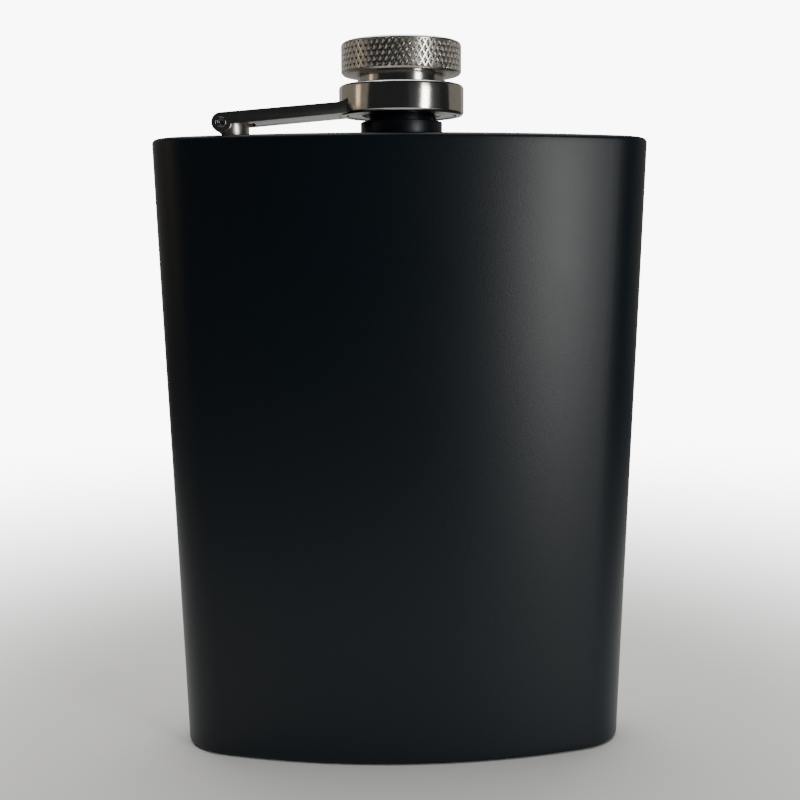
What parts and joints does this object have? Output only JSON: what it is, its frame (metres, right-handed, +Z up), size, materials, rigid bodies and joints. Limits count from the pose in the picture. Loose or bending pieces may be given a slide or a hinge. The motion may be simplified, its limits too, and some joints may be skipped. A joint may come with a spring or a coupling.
{
  "type": "hip flask",
  "caption": "Slim curved hip flask, matt black, with a knurled screw cap held captive by a collar on a hinged arm.",
  "frame": {"origin": "on the ground under the middle of the body's box", "axes": "+Z up towards the cap, X across the wide face with the hinge on -X, -Y out of the face that bows outwards"},
  "size_m": [0.095, 0.0303, 0.1348],
  "materials": {
    "body_black": "matt powder coat",
    "bright_steel": "polished",
    "turned_steel": "turned",
    "seal": "matt silicone"
  },
  "bodies": {
    "flask": {"body_sleeve": "body_black", "top_plate": "body_black", "bottom_plate": "body_black", "neck": "body_black", "hinge_bracket": "bright_steel"},
    "lever": {"arm": "bright_steel", "collar": "bright_steel", "hinge_pin": "bright_steel"},
    "ring": {"retaining_ring": "turned_steel"},
    "cap": {"cap_head": "bright_steel", "cap_sleeve": "turned_steel", "gasket": "seal"}
  },
  "joints": [
    {"name": "arm_swing", "type": "hinge", "parent": "flask", "child": "lever", "pos_m": [-0.0329, -0.00358, 0.12015], "axis": [0, -1, 0], "range_deg": [0, 165]},
    {"name": "cap_lift", "type": "slide", "parent": "lever", "child": "ring", "axis": [0, 0, 1], "range_m": [0, 0.00338]},
    {"name": "cap_turn", "type": "hinge", "parent": "ring", "child": "cap", "pos_m": [0, -0.00358, 0.1217], "axis": [0, 0, 1], "range_deg": [0, 810]}
  ],
  "couplings": [
    {"joint": "cap_lift", "follows": "cap_turn", "m_per_rad": 0.00023873}
  ]
}
